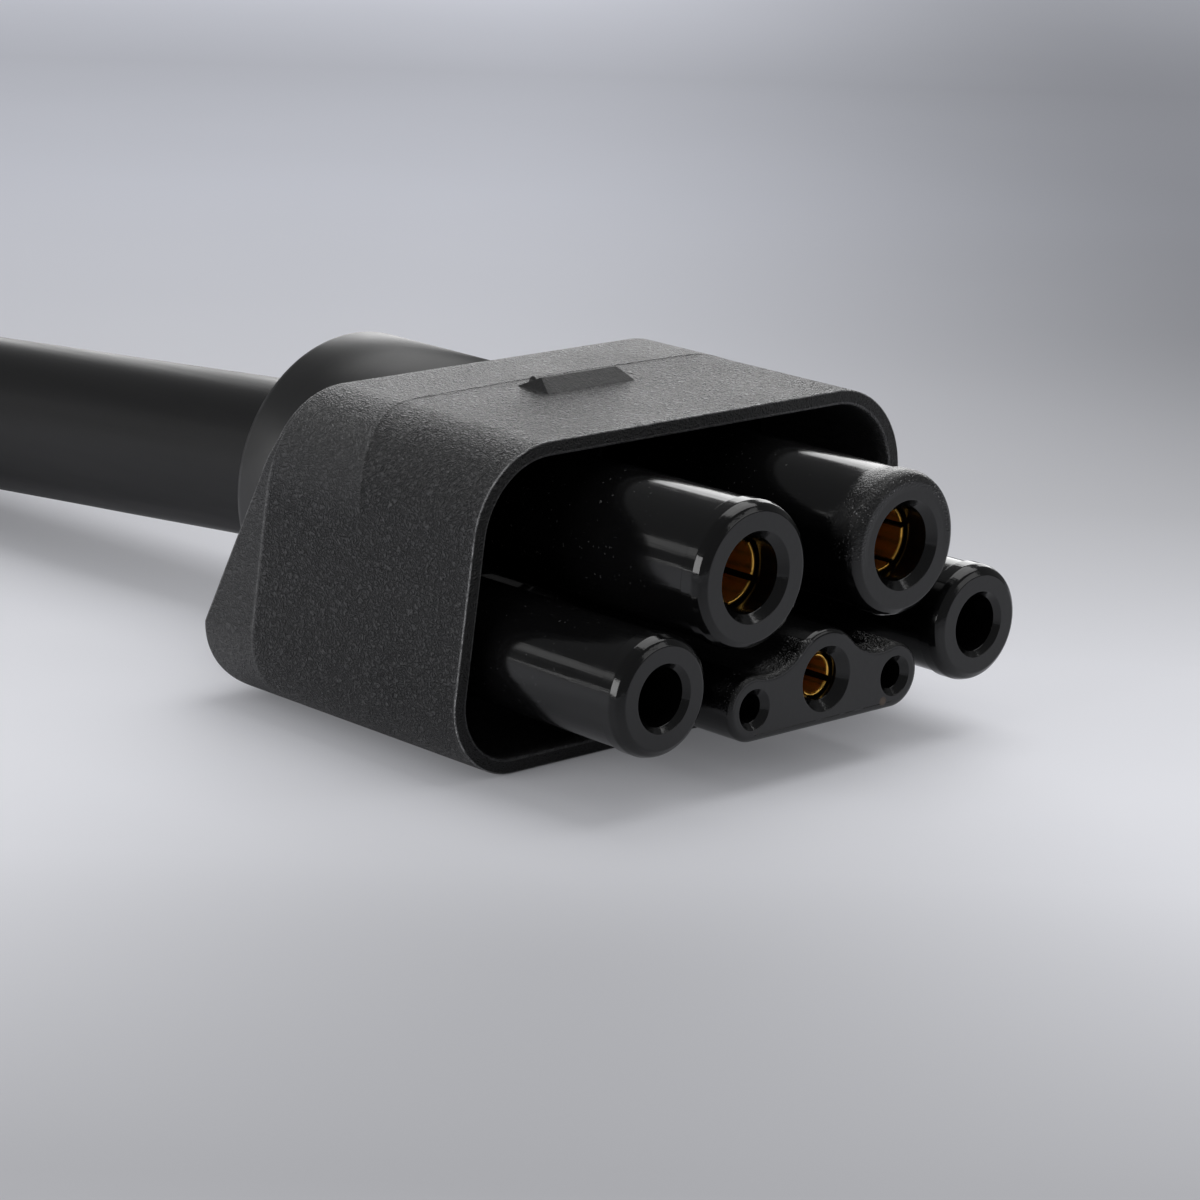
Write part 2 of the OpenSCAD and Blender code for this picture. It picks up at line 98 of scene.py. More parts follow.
POWER_CONTACT_R, GROUND_CONTACT_R = 3.0, 1.75      # inside the gold sockets
POWER_SINK, GROUND_SINK, LEAD_IN = 3.4, 1.6, 0.3   # sockets behind the nose, and their coned mouths
CABLE_D = 17.3
ROUTE = [
    (0, 20, 15.5), (0, 37, 15.5), (-2.2, 72, 13.2), (-4.8, 108, 10.9), (-7, 145, 9.3),
    (-8.4, 182, 8.9), (-9, 219, 9.8), (-9, 254, 11.8), (-9, 285, 13), (-9, 309, 13),
]

# finer shapes of the looks, mm
RIM_OUT, RIM_IN, REAR_ROUND, CREASE = 0.12, 0.25, 0.35, 0.28
CREST_W = 0.16
NUB_X, NUB_Y, NUB_R, NUB_H = -4.5, 2.0, 0.4, 0.8
BLOCK_ROUND = 0.6
CHIP, CHIP_INNER, CHIP_OUTER = (8.0, NOSE_Y, 5.9), 0.25, 0.55
POWER_END_R, GROUND_END_R = 3.32, 2.02


# helpers for meshes, which are written in mm and scaled once
def smooth_step(v, a, b):
    t = min(max((v - a) / (b - a), 0), 1)
    return t * t * (3 - 2 * t)


def quarter(k, steps):
    """Angle after k steps of a quarter turn."""
    return math.pi / 2 * k / steps


def full_turn(sides):
    return [2 * math.pi * j / sides for j in range(sides)]


def smooth_route(points, n):
    """n points of a Catmull-Rom curve through the points."""
    p = [Vector(q) for q in points]
    p = [2 * p[0] - p[1], *p, 2 * p[-1] - p[-2]]
    out = []
    for k in range(n):
        t = k / (n - 1) * (len(points) - 1)
        i = min(int(t), len(points) - 2)
        f = t - i
        a, b, c, d = p[i : i + 4]
        linear = 2 * b + (c - a) * f
        square = (2 * a - 5 * b + 4 * c - d) * f * f
        cube = (3 * b - a - 3 * c + d) * f ** 3
        out.append(0.5 * (linear + square + cube))
    return out


NO_TURN = 1e-3      # a corner that turns less than this, in radians, is straight
ARC_SHARE = 0.48    # the most that an arc takes of the side beside it
SUPPORT = 1.25      # place of a support point, as a multiple of the arc's start


def fillet(points, steps):
    """Corners (a, b, radius) -> points (a, b): an arc with a support point on both sides of it."""
    out = []
    for i, (a, b, r) in enumerate(points):
        p = np.array((a, b), float)
        if i in (0, len(points) - 1) or r <= 0:
            out.append(tuple(p))
            continue
        u = np.array(points[i - 1][:2], float) - p
        v = np.array(points[i + 1][:2], float) - p
        lu, lv = np.linalg.norm(u), np.linalg.norm(v)
        u, v = u / lu, v / lv
        half = math.acos(max(-1, min(1, float(u @ v)))) / 2
        turn = math.pi - 2 * half
        if turn < NO_TURN:
            # as many points as an arc has, so that neighbouring rows still match
            t = min(r, lu * 0.4, lv * 0.4)
            out += [tuple(p + u * t * (1 - 2 * k / (steps + 2))) for k in range(steps + 3)]
            continue
        t = min(r / math.tan(half), lu * ARC_SHARE, lv * ARC_SHARE)
        r = t * math.tan(half)
        c = p + (u + v) / np.linalg.norm(u + v) * r / math.sin(half)
        a0 = p + u * t - c
        a1 = p + v * t - c
        out.append(tuple(p + u * min(t * SUPPORT, lu * 0.5)))
        for k in range(steps + 1):
            f = k / steps
            q = (math.sin((1 - f) * turn) * a0 + math.sin(f * turn) * a1) / math.sin(turn)
            out.append(tuple(c + q))
        out.append(tuple(p + v * min(t * SUPPORT, lv * 0.5)))
    return out


class Shell:
    """Vertices and faces of one mesh, filled loop by loop."""

    def __init__(self):
        self.verts, self.faces = [], []

    def loop(self, points):
        start = len(self.verts)
        self.verts.extend(points)
        return list(range(start, start + len(points)))

    def skin(self, a, b):
        n = len(a)
        for i in range(n):
            j = (i + 1) % n
            self.faces.append((a[i], a[j], b[j], b[i]))

    def stack(self, loops):
        ids = [self.loop(p) for p in loops]
        for a, b in zip(ids, ids[1:]):
            self.skin(a, b)
        return ids

    def fan(self, ids, centre):
        c = self.loop([centre])[0]
        n = len(ids)
        for i in range(n):
            self.faces.append((ids[i], ids[(i + 1) % n], c))

    def plate(self, outer, holes=()):
        """Flat face between an outer loop and holes, all of them in one XZ plane."""
        rings = [outer, *holes]
        flat = [[Vector((self.verts[i][0], self.verts[i][2], 0)) for i in ring] for ring in rings]
        ids = [i for ring in rings for i in ring]
        for tri in tessellate_polygon(flat):
            self.faces.append(tuple(ids[k] for k in tri))

    def lathe(self, x, z, profile, sides, close_start=True):
        """Profile of (radius, y) turned about the axis along Y through x, z, and closed at its end."""
        ids = self.stack([
            [(x + r * math.cos(t), y, z + r * math.sin(t)) for t in full_turn(sides)]
            for r, y in profile
        ])
        if close_start:
            self.fan(ids[0], (x, profile[0][1], z))
        self.fan(ids[-1], (x, profile[-1][1], z))
        return ids


def shell_object(name, s, layers):
    """Object of a shell, with a float attribute on its points for each layer."""
    mesh = bpy.data.meshes.new(name)
    mesh.from_pydata([tuple(float(c) * MM for c in v) for v in s.verts], [], s.faces)
    for key, values in layers.items():
        a = mesh.attributes.new(key, "FLOAT", "POINT")
        a.data.foreach_set("value", values)
    bm = bmesh.new()
    bm.from_mesh(mesh)
    bmesh.ops.remove_doubles(bm, verts=bm.verts, dist=1e-7)
    bmesh.ops.recalc_face_normals(bm, faces=bm.faces)
    bm.to_mesh(mesh)
    bm.free()
    mesh.shade_smooth()
    return link_object(name, mesh)


def finish_piece(o, slot, *nodes):
    o.data.materials.clear()
    o.data.materials.append(MAT[slot])
    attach(o, "root")
    if nodes:
        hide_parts(*nodes)
    return o


# helpers for node trees
def material(name, colour, rough, metal=0.0, spec=0.5):
    """Material with plain values, which a viewer that can't read the nodes shows."""
    m = bpy.data.materials.new(name)
    m.use_nodes = True
    nt = m.node_tree
    b = nt.nodes["Principled BSDF"]
    b.inputs["Base Color"].default_value = (*colour, 1)
    b.inputs["Roughness"].default_value = rough
    b.inputs["Metallic"].default_value = metal
    b.inputs["Specular IOR Level"].default_value = spec
    return m, nt, b


def coords(nt, scale=(1, 1, 1)):
    out = nt.nodes.new("ShaderNodeTexCoord").outputs["Object"]
    if scale == (1, 1, 1):
        return out
    n = nt.nodes.new("ShaderNodeMapping")
    n.inputs["Scale"].default_value = scale
    nt.links.new(out, n.inputs["Vector"])
    return n.outputs["Vector"]


def noise(nt, scale, detail=3.0, rough=0.5, vector=None, distortion=0.0):
    """Noise with its scale in cells per metre."""
    n = nt.nodes.new("ShaderNodeTexNoise")
    n.inputs["Scale"].default_value = scale
    n.inputs["Detail"].default_value = detail
    n.inputs["Roughness"].default_value = rough
    n.inputs["Distortion"].default_value = distortion
    nt.links.new(vector or coords(nt), n.inputs["Vector"])
    return n.outputs["Fac"]


def ramp(nt, fac, x0, x1, y0=0.0, y1=1.0, smooth=False):
    n = nt.nodes.new("ShaderNodeMapRange")
    n.interpolation_type = "SMOOTHSTEP" if smooth else "LINEAR"
    for k, v in zip(("From Min", "From Max", "To Min", "To Max"), (x0, x1, y0, y1)):
        n.inputs[k].default_value = v
    nt.links.new(fac, n.inputs["Value"])
    return n.outputs["Result"]


def maths(nt, op, *values):
    n = nt.nodes.new("ShaderNodeMath")
    n.operation = op
    for i, v in enumerate(values):
        if isinstance(v, (int, float)):
            n.inputs[i].default_value = v
        else:
            nt.links.new(v, n.inputs[i])
    return n.outputs[0]


def plus(nt, a, b):
    return maths(nt, "ADD", a, b)


def minus(nt, a, b):
    return maths(nt, "SUBTRACT", a, b)


def times(nt, a, b):
    return maths(nt, "MULTIPLY", a, b)


def vector_maths(nt, op, vector, constant):
    n = nt.nodes.new("ShaderNodeVectorMath")
    n.operation = op
    nt.links.new(vector, n.inputs[0])
    n.inputs[1].default_value = constant
    return n.outputs["Value"]


def near(nt, place):
    """Distance from a place given in mm."""
    return vector_maths(nt, "DISTANCE", coords(nt), [c * MM for c in place])


def mix_colour(nt, fac, a, b):
    n = nt.nodes.new("ShaderNodeMix")
    n.data_type = "RGBA"
    ins = [s for s in n.inputs if s.type == "RGBA"]
    nt.links.new(fac, n.inputs["Factor"])
    for sock, v in zip(ins, (a, b)):
        if isinstance(v, tuple):
            sock.default_value = (*v, 1)
        else:
            nt.links.new(v, sock)
    return [s for s in n.outputs if s.type == "RGBA"][0]


def bump(nt, bsdf, height, distance, strength=None):
    n = nt.nodes.new("ShaderNodeBump")
    n.inputs["Distance"].default_value = distance
    if strength is not None:
        nt.links.new(strength, n.inputs["Strength"])
    nt.links.new(height, n.inputs["Height"])
    nt.links.new(n.outputs["Normal"], bsdf.inputs["Normal"])


def attribute(nt, name):
    n = nt.nodes.new("ShaderNodeAttribute")
    n.attribute_name = name
    return n.outputs["Fac"]


# materials: every colour, gloss and grain comes from nodes in object space
DEEP_BLACK = (0.004, 0.004, 0.0042)


def housing_plastic():
    """Black plastic with a wrinkle grain, painted lighter on its crests and darker in its valleys, lighter
    along its edges from wear and a painted highlight, and with painted shade on faces turned from the light.
    """
    m, nt, b = material("grained_plastic", (0.017, 0.017, 0.0177), 0.5, spec=0.66)
    grain, edge, shade = (attribute(nt, key) for key in ("grain", "edge", "shade"))
    blotch = noise(nt, 90, 3)
    # winding ridges between dark cells, where one stretched noise passes its middle value
    bands = noise(nt, 2300, 0.6, vector=coords(nt, (1, 0.7, 1)), distortion=1.1)
    wrinkle = maths(nt, "ABSOLUTE", minus(nt, bands, 0.5))
    height = plus(nt, times(nt, wrinkle, 2.2), times(nt, noise(nt, 5200, 2), 0.3))
    bump(nt, b, height, 1.3 * MM, strength=ramp(nt, grain, 0, 1, 0.12, 1.0))
    rough = minus(nt, ramp(nt, blotch, 0.3, 0.7, 0.42, 0.48), times(nt, edge, 0.2))
    nt.links.new(plus(nt, rough, times(nt, shade, 0.12)), b.inputs["Roughness"])
    # painted shade in the grain's valleys and a painted highlight on its crests
    valley = times(nt, ramp(nt, wrinkle, 0.0, 0.10, 1, 0), grain)
    crest = times(nt, ramp(nt, wrinkle, 0.03, 0.17), grain)
    # edges lighter from wear and from a painted highlight
    wear_and_highlight = times(nt, edge, ramp(nt, noise(nt, 900, 3), 0.35, 0.6, 0.35, 1.0))
    base = mix_colour(nt, blotch, (0.029, 0.029, 0.030), (0.038, 0.038, 0.0393))
    base = mix_colour(nt, crest, base, (0.086, 0.086, 0.0885))
    base = mix_colour(nt, valley, base, (0.026, 0.026, 0.0268))
    # painted shade on faces turned from the light
    base = mix_colour(nt, shade, base, DEEP_BLACK)
    nt.links.new(mix_colour(nt, wear_and_highlight, base, (0.34, 0.34, 0.345)), b.inputs["Base Color"])
    return m


def satin_plastic():
    """Smooth black plastic of the boss, with faint scuffs round it and an end edge lighter from wear and a
    painted highlight.
    """
    m, nt, b = material("smooth_plastic", (0.011, 0.011, 0.0115), 0.4, spec=0.8)
    nt.links.new(ramp(nt, noise(nt, 120, 4), 0.3, 0.7, 0.36, 0.44), b.inputs["Roughness"])
    scuff = noise(nt, 260, 5, 0.6, vector=coords(nt, (1, 6, 1)))
    base = mix_colour(nt, scuff, (0.009, 0.009, 0.0095), (0.015, 0.015, 0.0155))
    edge = attribute(nt, "edge")
    # end edge lighter from wear and a painted highlight
    wear_and_highlight = times(nt, edge, ramp(nt, noise(nt, 700, 3), 0.35, 0.65, 0.3, 1.0))
    nt.links.new(mix_colour(nt, wear_and_highlight, base, (0.045, 0.045, 0.046)), b.inputs["Base Color"])
    bump(nt, b, noise(nt, 4500, 2), 0.006 * MM)
    return m


def carrier_plastic():
    """Glossy black plastic with a drawn finish, dust, rubbed wear, light specks from wear and painted glints,
    and one chip.
    """
    m, nt, b = material("carrier_gloss", DEEP_BLACK, 0.12)
    scuffed = attribute(nt, "scuff")
    rough = ramp(nt, noise(nt, 220, 4), 0.35, 0.7, 0.10, 0.17)
    nt.links.new(plus(nt, rough, times(nt, scuffed, 0.1)), b.inputs["Roughness"])
    dust = times(nt, ramp(nt, noise(nt, 2400, 2), 0.71, 0.74), attribute(nt, "dust"))
    # light specks where scuffed, from wear and painted glints, which come in clumps
    specks = ramp(nt, noise(nt, 4800, 2), 0.63, 0.68)
    clumps = ramp(nt, noise(nt, 420, 2), 0.4, 0.6)
    wear_and_highlight = times(nt, times(nt, specks, ramp(nt, scuffed, 0.35, 1.0)), clumps)
    chip = ramp(nt, near(nt, CHIP), CHIP_INNER * MM, CHIP_OUTER * MM, 1, 0)
    base = mix_colour(nt, dust, DEEP_BLACK, (0.085, 0.085, 0.085))
    base = mix_colour(nt, wear_and_highlight, base, (0.38, 0.38, 0.38))
    nt.links.new(mix_colour(nt, chip, base, (0.09, 0.055, 0.03)), b.inputs["Base Color"])
    rub = times(nt, noise(nt, 4600, 2, 0.6), times(nt, scuffed, 3.0))
    wave = times(nt, noise(nt, 350, 2), 0.15)
    drawn = times(nt, noise(nt, 1500, 3, 0.6, vector=coords(nt, (1, 0.025, 1))), 0.35)
    bump(nt, b, plus(nt, plus(nt, rub, wave), drawn), 0.05 * MM)
    return m


def jacket_rubber():
    """Black cable jacket with streaks along it."""
    m, nt, b = material("cable_jacket", (0.011, 0.011, 0.0115), 0.42, spec=0.38)
    streak = noise(nt, 500, 3, vector=coords(nt, (1, 0.03, 1)))
    nt.links.new(ramp(nt, streak, 0.3, 0.7, 0.37, 0.47), b.inputs["Roughness"])
    base = mix_colour(nt, noise(nt, 60, 4), (0.009, 0.009, 0.0095), (0.014, 0.014, 0.0145))
    nt.links.new(base, b.inputs["Base Color"])
    bump(nt, b, plus(nt, times(nt, streak, 0.6), noise(nt, 3800, 2)), 0.008 * MM)
    return m


def contact_gold():
    """Gold plating with turning marks and stains."""
    m, nt, b = material("contact_metal", (0.95, 0.56, 0.18), 0.22, metal=0.9)
    stain = noise(nt, 500, 4)
    nt.links.new(ramp(nt, stain, 0.35, 0.7, 0.11, 0.2), b.inputs["Roughness"])
    base = mix_colour(nt, stain, (1.0, 0.64, 0.15), (0.95, 0.46, 0.07))
    nt.links.new(base, b.inputs["Base Color"])
    bump(nt, b, noise(nt, 2600, 2, vector=coords(nt, (1, 8, 1))), 0.006 * MM)
    return m


ROUGH_VARY, COLOUR_VARY = 0.06, 0.12


def plain(name, colour, rough, metal=0.0, grain=0.0, scale=900):
    """Even finish with soft variation of colour and gloss, and a fine grain of a depth in mm."""
    m, nt, b = material(name, colour, rough, metal)
    gloss = ramp(nt, noise(nt, 70, 4), 0.3, 0.7, rough - ROUGH_VARY, rough + ROUGH_VARY)
    nt.links.new(gloss, b.inputs["Roughness"])
    dark = tuple(c * (1 - COLOUR_VARY) for c in colour)
    light = tuple(min(c * (1 + COLOUR_VARY), 1) for c in colour)
    nt.links.new(mix_colour(nt, noise(nt, 160, 3), dark, light), b.inputs["Base Color"])
    if grain:
        bump(nt, b, noise(nt, scale, 3), grain * MM)
    return m


MAT = {
    "grained_plastic": housing_plastic(),
    "smooth_plastic": satin_plastic(),
    "carrier_gloss": carrier_plastic(),
    "cable_jacket": jacket_rubber(),
    "contact_metal": contact_gold(),
    "gasket_rubber": plain("gasket_rubber", (0.03, 0.03, 0.03), 0.7, grain=0.01),
    "retainer_plastic": plain("retainer_plastic", (0.6, 0.6, 0.56), 0.5, grain=0.01),
    "board": plain("board", (0.02, 0.16, 0.07), 0.35, grain=0.01, scale=600),
    "resistor": plain("resistor", (0.02, 0.02, 0.02), 0.3),
    "ferrule_steel": plain("ferrule_steel", (0.6, 0.6, 0.6), 0.35, 1.0, grain=0.01),
    "relief_rubber": plain("relief_rubber", (0.012, 0.012, 0.012), 0.55, grain=0.02, scale=1500),
    "plug_plastic": plain("plug_plastic", (0.013, 0.013, 0.0135), 0.48, grain=0.03, scale=1800),
    "plug_face_gloss": plain("plug_face_gloss", (0.008, 0.008, 0.008), 0.25, grain=0.004),
    "blade_metal": plain("blade_metal", (0.83, 0.6, 0.28), 0.28, 1.0, grain=0.004, scale=2500),
}
CORE_COLOURS = {
    "core_black": (0.015, 0.015, 0.015), "core_red": (0.4, 0.03, 0.02),
    "core_green": (0.03, 0.25, 0.07), "core_white": (0.7, 0.7, 0.7), "core_blue": (0.05, 0.1, 0.45),
}
for core, core_colour in CORE_COLOURS.items():
    MAT[core] = plain(core, core_colour, 0.45, grain=0.01)
SLOTS = {s["node"]: s["material_slot"] for s in frame["record"]["subparts"]}

# cord: the cable along its route
TUBE_SIDES, TUBE_RINGS, CORD_POINTS = 64, 181, 37


def tube(name, pts, r):
    s = Shell()
    loops = []
    for i, p in enumerate(pts):
        t = (pts[min(i + 1, len(pts) - 1)] - pts[max(i - 1, 0)]).normalized()
        e = t.cross(Vector((0, 0, 1))).normalized()
        w = e.cross(t)
        loops.append([tuple(p + r * (math.cos(a) * e + math.sin(a) * w)) for a in full_turn(TUBE_SIDES)])
    ids = s.stack(loops)
    s.fan(ids[0], tuple(pts[0]))
    s.fan(ids[-1], tuple(pts[-1]))
    return shell_object(name, s, {})


cable = finish_piece(
    tube("cable_tube", smooth_route(ROUTE, TUBE_RINGS), CABLE_D / 2), "cable_jacket", "cable"
)

# nodes that keep the CAD shape, with their edges rounded by a width in mm
ROUND = {
    "power_contact_left": 0.03, "power_contact_right": 0.03, "ground_contact": 0.03,
    "signal_contact_left": 0.05, "signal_contact_right": 0.05,
    "plug_body": 0.6, "plug_face": 0.3, "blade_line_left": 0.2, "blade_line_right": 0.2,
    "blade_neutral": 0.2, "plug_ground_pin": 0.25, "plug_strain_relief": 0.35,
    "id_board": 0.1, "id_resistor": 0.1, "cable_ferrule": 0.2, "temperature_sensor": 0.2,
}
ROUND_STEPS, SHARP_ANGLE, FLAT_ANGLE = 3, math.radians(25), math.radians(0.3)
OWN_MESH = ("cable", "housing", "cable_collar", "contact_carrier")
MOUTH_KEEP = 0.6
# axis, inner radius, front along Y and radius of the flat end of each gold socket that shows
MOUTHS = {
    "power_contact_left": (-POWER_X, POWER_Z, POWER_CONTACT_R, NOSE_Y + POWER_SINK, POWER_END_R),
    "power_contact_right": (POWER_X, POWER_Z, POWER_CONTACT_R, NOSE_Y + POWER_SINK, POWER_END_R),
    "ground_contact": (0, GROUND_Z, GROUND_CONTACT_R, NOSE_Y + GROUND_SINK, GROUND_END_R),
}


def slim_mouth(mesh, x, z, r_in, front, r_end):
    """Narrows a socket's coned mouth to a share of its width, and its flat end to a radius."""
    for v in mesh.vertices:
        dx, dz = v.co.x - x * MM, v.co.z - z * MM
        r = math.hypot(dx, dz)
        up = v.co.y - front * MM
        if up < LEAD_IN * 1.05 * MM and r < (r_in + LEAD_IN) * MM:
            f = (r_in * MM + (r - r_in * MM) * MOUTH_KEEP) / r
            v.co = (x * MM + dx * f, front * MM + up * MOUTH_KEEP, z * MM + dz * f)
        elif up < 0.02 * MM:
            v.co.x, v.co.z = x * MM + dx * r_end * MM / r, z * MM + dz * r_end * MM / r


def dress(name):
    """A copy of a CAD node's mesh with rounded edges, which stands for the node."""
    mesh = frame["nodes"][name].data.copy()
    bm = bmesh.new()
    bm.from_mesh(mesh)
    bmesh.ops.remove_doubles(bm, verts=bm.verts, dist=1e-7)
    bmesh.ops.dissolve_limit(bm, angle_limit=FLAT_ANGLE, verts=bm.verts, edges=bm.edges)
    bm.to_mesh(mesh)
    bm.free()
    if name in MOUTHS:
        slim_mouth(mesh, *MOUTHS[name])
    o = link_object(name + "_dressed", mesh)
    mesh.shade_smooth()
    if name in ROUND:
        m = o.modifiers.new("round", "BEVEL")
        m.width = ROUND[name] * MM
        m.segments = ROUND_STEPS
        m.limit_method = "ANGLE"
        m.angle_limit = SHARP_ANGLE
        m.harden_normals = True
    else:
        mesh.set_sharp_from_angle(angle=SHARP_ANGLE)
    return finish_piece(o, SLOTS[name], name)


dressed = {name: dress(name) for name in frame["nodes"] if name not in OWN_MESH}

# housing: the section's outline as points (x, z) with outward normals
SIDES_TOP, SIDES_SLANT, SIDES_ARC = 64, 24, 30
SLANT = (SHROUD_WB - SHROUD_WT) / 2 / SHROUD_H
STRETCH = math.hypot(1, SLANT)
Z_TOP_ARC = SHROUD_H - CORNER_T
X_BOTTOM = SHROUD_WB / 2 - SLANT * CORNER_B - CORNER_B * STRETCH
X_TOP = SHROUD_WB / 2 - SLANT * Z_TOP_ARC - CORNER_T * STRETCH


def arc(x, z, r, start, end, steps, side=1):
    """Points of an arc with normals, which point to its centre where side is -1."""
    out = []
    for k in range(steps + 1):
        t = start + (end - start) * k / steps
        c, s = math.cos(t), math.sin(t)
        out.append((x + r * c, z + r * s, side * c, side * s))
    return out


def mirrored(points):
    return [(-x, z, -nx, nz) for x, z, nx, nz in reversed(points)]


def shroud_outline():
    """The section's outline from the bottom right corner upwards, and how many points its right side has."""
    phi = math.atan(SLANT)
    right = arc(X_BOTTOM, CORNER_B, CORNER_B, -math.pi / 2, phi, SIDES_ARC)
    upper = arc(X_TOP, Z_TOP_ARC, CORNER_T, phi, math.pi / 2, SIDES_ARC)
    p, q = right[-1], upper[0]
    for j in range(1, SIDES_SLANT):
        f = j / SIDES_SLANT
        x, z = p[0] + (q[0] - p[0]) * f, p[1] + (q[1] - p[1]) * f
        right.append((x, z, math.cos(phi), math.sin(phi)))
    right += upper
    top = [(X_TOP * (1 - 2 * j / SIDES_TOP), SHROUD_H, 0, 1) for j in range(1, SIDES_TOP)]
    low = [(-X_BOTTOM * (1 - 2 * j / SIDES_TOP), 0, 0, -1) for j in range(1, SIDES_TOP)]
    return right + top + mirrored(right) + low, len(right)


OUTLINE, SIDE_COUNT = shroud_outline()
# the seam across the top: its place along Y at some distances from the middle, and its step up
SEAM_X = (0, 4.5, 13, 17.9, 20.7, 23.5, 26.7, 29.3)
SEAM_Y = (4.6, 4.6, 4.3, 4.1, 3.5, 2.4, 0.8, -1.2)
SEAM_UP, SEAM_REACH = 0.06, 0.9
SEAM_STEPS = (-0.45, -0.2, -0.1, -0.03, 0.04, 0.1, 0.2, 0.45, SEAM_REACH)
CREASE_Y = REAR_Y - 0.8
# the crease in front of the wedge: distance behind its start, share of its depth, wear with a painted
# highlight
CREASE_STEPS = (
    (0.25, 0, 0), (0.42, 0, 1), (0.55, 0.04, 1), (0.68, 0.25, 1), (0.82, 0.75, 0.5),
    (0.98, 1, 0.1), (1.25, 1, 0),
)
REAR_GRAIN = 0.45


def seam_at(x, z):
    """Where the raised rear band starts along Y, and how high it stands, at a point of the outline."""
    y = float(np.interp(abs(x), SEAM_X, SEAM_Y))
    return y, SEAM_UP * smooth_step(z, 20, 26)


def rear_at(z):
    """End of the head along Y at height z: rear edge, slope of the wedge, round foot."""
    if z >= WEDGE_TOP:
        return REAR_Y
    if z >= WEDGE_Z:
        return REAR_Y + WEDGE_L * (WEDGE_TOP - z) / (WEDGE_TOP - WEDGE_Z)
    if z >= FOOT_R:
        return FOOT_Y
    return FOOT_Y - FOOT_R + math.sqrt(max(FOOT_R ** 2 - (FOOT_R - z) ** 2, 0))


# each row of the housing is (inset, y, grain, edge, shade), where edge is wear with a painted highlight and
# shade is painted shade
def front_rows():
    """Rows from the gasket's seat through the cavity and over the rim."""
    seat_y = FLOOR_Y + PLATE_T + GASKET_T
    rows = [(WALL + GASKET_W, seat_y, 0.2, 0, 0), (WALL, seat_y, 0.2, 0, 0)]
    for f in (0.0, 0.35, 0.7, 0.95):
        rows.append((WALL, FLOOR_Y + (RIM_Y + 0.8 - FLOOR_Y) * f, 0.15, 0, 0))
    # the inner rim edge, lighter from wear and a painted highlight
    for k in range(5):
        a = quarter(k, 4)
        inset, y = WALL - RIM_IN * (1 - math.cos(a)), RIM_Y + RIM_IN * (1 - math.sin(a))
        rows.append((inset, y, 0.3, 0.2, 0))
    # the rim's face, with painted shade
    rows.append((WALL - RIM_IN - 0.08, RIM_Y, 0.35, 0, 1))
    rows.append((RIM_OUT + 0.06, RIM_Y, 0.35, 0, 1))
    # the outer rim edge, lighter from wear and a painted highlight
    for k in range(6):
        a = quarter(k, 5)
        inset, y = RIM_OUT * (1 - math.sin(a)), RIM_Y + RIM_OUT * (1 - math.cos(a))
        rows.append((inset, y, 0.4, 1 if 0 < k < 5 else 0.3, 0))
    return rows


def side_rows(seam_y, up):
    """Rows along the outside to the seam, over it, and along the raised band behind it."""
    y0 = RIM_Y + RIM_OUT + 0.08
    high = up / SEAM_UP
    rows = [(0, y0, 0.8, 0, 0)]
    for k in range(1, 13):
        rows.append((0, y0 + (seam_y - SEAM_REACH - y0) * k / 12, 1, 0, 0))
    for dy in SEAM_STEPS:
        f = smooth_step(dy, -0.12, 0.12)
        # the seam's edge, lighter from wear and a painted highlight
        wear_and_highlight = 0.1 * f * (1 - smooth_step(dy, 0.1, 0.5)) * high
        rows.append((-up * f, seam_y + dy, 1 - 0.5 * f * high, wear_and_highlight, 0))
    band_y = seam_y + SEAM_REACH
    for k in range(1, 8):
        rows.append((-up, band_y + (CREASE_Y - band_y) * k / 7, 1 - 0.5 * high, 0, 0))
    return rows


def rear_rows(z, up):
    """Rows over the crease, along the wedge and round the rear edge, at height z."""
    end = rear_at(z)
    r = REAR_ROUND * smooth_step(z, -0.5, 4)
    span = max(end - r - CREASE_Y, 0.05)
    deep = CREASE * smooth_step(end - REAR_Y, 0.2, 1.6) * smooth_step(z, 1, 5)
    lip = 0.3 * smooth_step(z, 3, 9)
    rows = []
    for k, (q, f, wear_and_highlight) in enumerate(CREASE_STEPS):
        inset = deep * f - up * (1 - f if deep else 1)
        y = CREASE_Y + min(q, span * (k + 1) / 14)
        rows.append((inset, y, REAR_GRAIN, lip * wear_and_highlight, 0))
    last = deep if deep else -up
    wedge_y = rows[-1][1]
    for k in range(1, 8):
        rows.append((last, wedge_y + (end - r * 1.2 - wedge_y) * k / 7, REAR_GRAIN, 0, 0))
    # the rear edge, lighter from wear and a painted highlight
    for k in range(6):
        a = quarter(k, 5)
        inset, y = last + r * (1 - math.cos(a)), end - r * (1 - math.sin(a))
        rows.append((inset, y, 0.4, 0.35 * smooth_step(z, 5, 9), 0))
    return rows


def close_rear(s, last):
    """Rear face: strips across, between the right side's points and their mirror images."""
    right = last[:SIDE_COUNT]
    left = [last[2 * SIDE_COUNT + SIDES_TOP - 2 - k] for k in range(SIDE_COUNT)]
    top = [right[-1]] + last[SIDE_COUNT : SIDE_COUNT + SIDES_TOP - 1] + [left[-1]]
    low = [right[0]] + list(reversed(last[2 * SIDE_COUNT + SIDES_TOP - 1 :])) + [left[0]]
    rows = [low]
    for k in range(1, SIDE_COUNT - 1):
        a, b = np.array(s.verts[right[k]]), np.array(s.verts[left[k]])
        mid = s.loop([tuple(a + (b - a) * j / SIDES_TOP) for j in range(1, SIDES_TOP)])
        rows.append([right[k]] + mid + [left[k]])
    rows.append(top)
    for a, b in zip(rows, rows[1:]):
        for j in range(SIDES_TOP):
            s.faces.append((a[j], a[j + 1], b[j + 1], b[j]))


